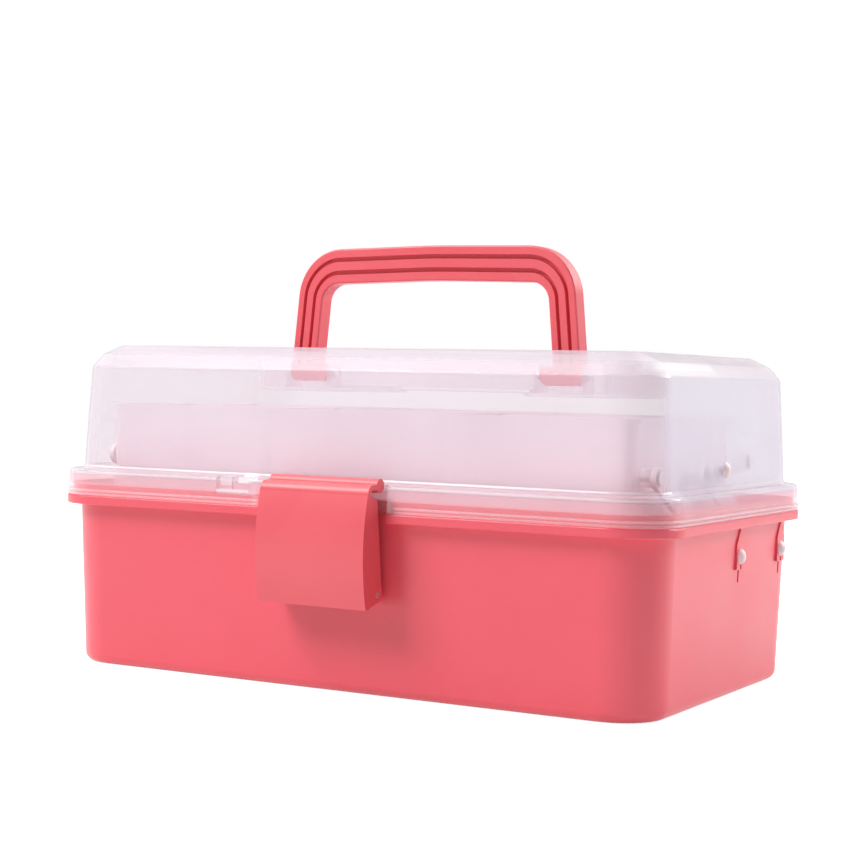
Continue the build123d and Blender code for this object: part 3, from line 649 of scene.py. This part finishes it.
@dataclass
class SkirtBeads:
    """Fine raised beads moulded round the lid's skirt, one run each side of the latch.

    Attributes:
        half_length: Half the rim's length.
        half_depth: Half the rim's depth.
        corner: Radius of the rim's corners.
        start: How far from the middle a run starts at the front.
        levels: The height of each bead.
        radius: The bead's radius.
        sunk: How far in from the rim its centre line runs.
        sides: Points round the bead.
        corner_points: Points round each of the rim's corners.
        end_rings: Rings in the half ball at each end.
        tip: Share of the radius that the last ring keeps.
    """

    half_length: float = 0.165
    half_depth: float = 0.1
    corner: float = 0.026
    start: float = 0.0368
    levels: tuple[float, ...] = (0.0866, 0.0847)
    radius: float = 0.0006
    sunk: float = 0.00063
    sides: int = 12
    corner_points: int = 17
    end_rings: int = 4
    tip: float = 0.02

    def _centre_line(self) -> tuple[np.ndarray, np.ndarray]:
        """Where the right-hand run goes, seen from above.

        It is the rim's outline moved in by the sunk distance: straight along the front, a quarter circle,
        straight along the end, a second quarter circle and a short straight at the back.

        Returns:
            The points and the unit vectors out of the skirt at them, each as rows of X and Y.
        """
        x, y, bend = self.half_length - self.sunk, self.half_depth - self.sunk, self.corner - self.sunk
        quarter = np.linspace(-pi / 2, 0.0, self.corner_points)
        out = np.stack([np.cos(quarter), np.sin(quarter)], axis=-1)
        front = np.array([[self.start, -y], [(self.start + x - bend) / 2, -y]])
        first = np.array([x - bend, bend - y]) + bend * out
        middle = np.array([[x, 0.0]])
        turned = np.stack([-out[:, 1], out[:, 0]], axis=-1)
        second = np.array([x - bend, y - bend]) + bend * turned
        last = np.array([[x - bend - 2 * self.radius, y]])
        points = np.concatenate([front, first, middle, second, last])
        normals = np.concatenate([np.tile([0.0, -1.0], (2, 1)), out, [[1.0, 0.0]], turned, [[0.0, 1.0]]])
        return points, normals

    def _run(self, level: float, side: float) -> tuple[np.ndarray, np.ndarray]:
        """One bead as a surface over its length and its angle round.

        Each point is the centre line plus the radius times (cos of the angle along the way out, sin of it
        upward). At both ends the radius falls as the cosine, and the ring moves on as the sine, so the
        bead ends in half a ball.

        Args:
            level: Its height.
            side: 1 for the right-hand run, -1 for its mirror image.

        Returns:
            The points, and the faces as rows of four point numbers.
        """
        line, out = self._centre_line()
        along = np.stack([-out[:, 1], out[:, 0]], axis=-1)
        ends = self.end_rings
        turn = np.linspace(0.0, pi / 2, ends + 1)[1:]
        line = np.concatenate([line[0] - along[0] * self.radius * np.sin(turn[::-1, None]), line,
                               line[-1] + along[-1] * self.radius * np.sin(turn[:, None])])
        out = np.concatenate([np.tile(out[0], (ends, 1)), out, np.tile(out[-1], (ends, 1))])
        width = np.ones(len(line))
        width[:ends], width[-ends:] = np.cos(turn[::-1]), np.cos(turn)
        width = np.maximum(width, self.tip) * self.radius
        angle = np.arange(self.sides) * 2 * pi / self.sides
        flat = line[:, None, :] + (width[:, None] * np.cos(angle))[:, :, None] * out[:, None, :]
        height = level + width[:, None] * np.sin(angle)
        points = np.concatenate([flat, height[:, :, None]], axis=-1)
        points[:, :, 0] *= side
        rows = np.arange(len(line) - 1)[:, None] * self.sides
        here = np.arange(self.sides)
        there = (here + 1) % self.sides
        faces = np.stack([rows + here, rows + there, rows + self.sides + there, rows + self.sides + here],
                         axis=-1).reshape(-1, 4)
        return points.reshape(-1, 3), faces[:, ::-1] if side > 0 else faces

    def build(self, material: bpy.types.Material) -> None:
        """Makes the beads, a piece for each side, and lets them ride with the lid.

        Args:
            material: The lid's own finish.
        """
        for name, side in (("skirt_beads_right", 1.0), ("skirt_beads_left", -1.0)):
            points, faces, ends = [], [], []
            for level in self.levels:
                run, quads = self._run(level, side)
                base = sum(len(part) for part in points)
                ring = np.arange(self.sides)
                caps = [ring[::-1] + base, ring + base + len(run) - self.sides]
                ends += [cap[::-1] if side > 0 else cap for cap in caps]
                points.append(run)
                faces.append(quads + base)
            mesh = bpy.data.meshes.new(name)
            mesh.from_pydata(np.concatenate(points).tolist(), [],
                             np.concatenate(faces).tolist() + [end.tolist() for end in ends])
            mesh.shade_smooth()
            mesh.materials.append(material)
            piece = bpy.data.objects.new(name, mesh)
            bpy.context.scene.collection.objects.link(piece)
            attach(piece, "lid")
            LOG.info("%s made, %d faces", name, len(mesh.polygons))


@dataclass
class Studio:
    """Floor, lamps, backdrop light and camera.

    Attributes:
        eye: Where the camera stands.
        azimuth: How far right of the front it stands, in degrees.
        pitch: How far it looks down, in degrees.
        roll: How far it leans, in degrees.
        lens: Focal length in millimetres.
        film: Width of the picture behind the lens in millimetres.
        floor_half: Half the floor's side.
        floor_cells: Faces along the floor's side.
        soft_light: Strength of the plain light from all round.
        paper_glow: How much light the floor adds to the eye's view, so that it looks white.
    """

    eye: Point = (0.4519, -0.8062, 0.1427)
    azimuth: float = 29.48
    pitch: float = 1.33
    roll: float = 1.25
    lens: float = 77.56
    film: float = 36.0
    floor_half: float = 4.0
    floor_cells: int = 8
    soft_light: float = 0.26
    paper_glow: float = 0.76

    def camera(self) -> None:
        """Stands the camera where the photograph was taken from."""
        turn, tip, lean = (radians(v) for v in (self.azimuth, self.pitch, self.roll))
        right = Vector((cos(turn), sin(turn), 0.0))
        back = Vector((sin(turn) * cos(tip), -cos(turn) * cos(tip), sin(tip)))
        up = back.cross(right)
        across = right * cos(lean) + up * sin(lean)
        above = up * cos(lean) - right * sin(lean)
        data = bpy.data.cameras.new("camera")
        data.lens = self.lens
        data.sensor_width = self.film
        data.clip_start = 0.01
        stand = bpy.data.objects.new("camera", data)
        axes = Matrix((across, above, back)).transposed().to_4x4()
        stand.matrix_world = Matrix.Translation(self.eye) @ axes
        bpy.context.scene.collection.objects.link(stand)
        bpy.context.scene.camera = stand

    def lamp(self, name: str, place: Point, aim: Point, size: tuple[float, float], watts: float) -> None:
        """Hangs a soft rectangular lamp.

        Args:
            name: The lamp's name.
            place: Where it hangs.
            aim: The point it faces.
            size: Its width and height.
            watts: Its power.
        """
        data = bpy.data.lights.new(name, "AREA")
        data.shape = "RECTANGLE"
        data.size, data.size_y = size
        data.energy = watts
        made = bpy.data.objects.new(name, data)
        made.location = place
        made.rotation_euler = (Vector(aim) - Vector(place)).to_track_quat("-Z", "Y").to_euler()
        bpy.context.scene.collection.objects.link(made)

    def lamps(self) -> None:
        """Hangs lamps at the front left, beyond the right end, behind the box and overhead."""
        middle = (0.0, 0.0, 0.08)
        self.lamp("lamp_front", (-0.95, -1.05, 1.45), middle, (0.9, 0.9), 31.0)
        self.lamp("lamp_end", (1.0, 1.15, 0.9), middle, (0.6, 0.6), 17.5)
        self.lamp("lamp_back", (0.6, 1.5, 1.3), middle, (1.6, 1.0), 8.0)
        self.lamp("lamp_top", (-0.65, -0.05, 1.45), middle, (1.1, 0.8), 6.0)

    def backdrop(self) -> None:
        """Fills the world with white to the eye and in reflections, and with a plain soft light."""
        world = bpy.data.worlds.new("backdrop")
        world.use_nodes = True
        bpy.context.scene.world = world
        wiring = Wiring(world.node_tree)
        shade = world.node_tree.nodes["Background"]
        path = wiring.node("ShaderNodeLightPath")
        shiny = wiring.maths("MULTIPLY", path.outputs["Is Glossy Ray"], MIRRORED_WHITE)
        seen = wiring.maths("MAXIMUM", path.outputs["Is Camera Ray"], path.outputs["Is Transmission Ray"])
        seen = wiring.maths("MAXIMUM", seen, shiny)
        wiring.feed(shade.inputs["Strength"], wiring.span(seen, 0.0, 1.0, self.soft_light, 1.0))
        shade.inputs["Color"].default_value = WHITE

    def floor(self) -> None:
        """Lays the pale floor, a flat grid in X and Y."""
        half, cells = self.floor_half, self.floor_cells
        row = cells + 1
        side = np.linspace(-half, half, row)
        x, y = np.meshgrid(side, side, indexing="ij")
        points = np.stack([x, y, np.zeros_like(x)], axis=-1).reshape(-1, 3)
        corner = (np.arange(cells)[:, None] * row + np.arange(cells)[None, :]).ravel()
        faces = np.stack([corner, corner + row, corner + row + 1, corner + 1], axis=-1)
        mesh = bpy.data.meshes.new("floor")
        mesh.from_pydata(points.tolist(), [], faces.tolist())
        made = bpy.data.objects.new("floor", mesh)
        bpy.context.scene.collection.objects.link(made)
        material, wiring, shader = open_material("floor_paper")
        place = wiring.node("ShaderNodeTexCoord").outputs["Object"]
        fibre = wiring.noise(place, 300.0, detail=2.0)
        wiring.feed(shader.inputs["Base Color"], wiring.blend(fibre, (0.8, 0.8, 0.8), (0.84, 0.84, 0.84)))
        shader.inputs["Roughness"].default_value = 0.9
        shader.inputs["Specular IOR Level"].default_value = 0.1
        path = wiring.node("ShaderNodeLightPath")
        shader.inputs["Emission Color"].default_value = WHITE
        seen = wiring.maths("MULTIPLY", path.outputs["Is Camera Ray"], self.paper_glow)
        shiny = wiring.maths("MULTIPLY", path.outputs["Is Glossy Ray"], MIRRORED_WHITE)
        wiring.feed(shader.inputs["Emission Strength"], wiring.maths("MAXIMUM", seen, shiny))
        made.data.materials.append(material)

    def build(self) -> None:
        """Sets up everything round the object."""
        self.camera()
        self.lamps()
        self.backdrop()
        self.floor()
        scene = bpy.context.scene
        scene.view_settings.view_transform = "Standard"
        scene.cycles.transparent_max_bounces = 32
        LOG.info("studio ready, floor %.1f m wide", 2 * self.floor_half)


def main() -> None:
    """Builds the looks of the box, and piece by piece."""
    logging.basicConfig(level=logging.INFO, format="%(name)s: %(message)s")
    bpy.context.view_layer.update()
    stocks = Dressing().dress(frame["nodes"], frame["record"])
    SkirtBeads().build(stocks[Stock.CLEAR])
    Studio().build()
    LOG.info("sizes written")


if __name__ == "__main__":
    main()
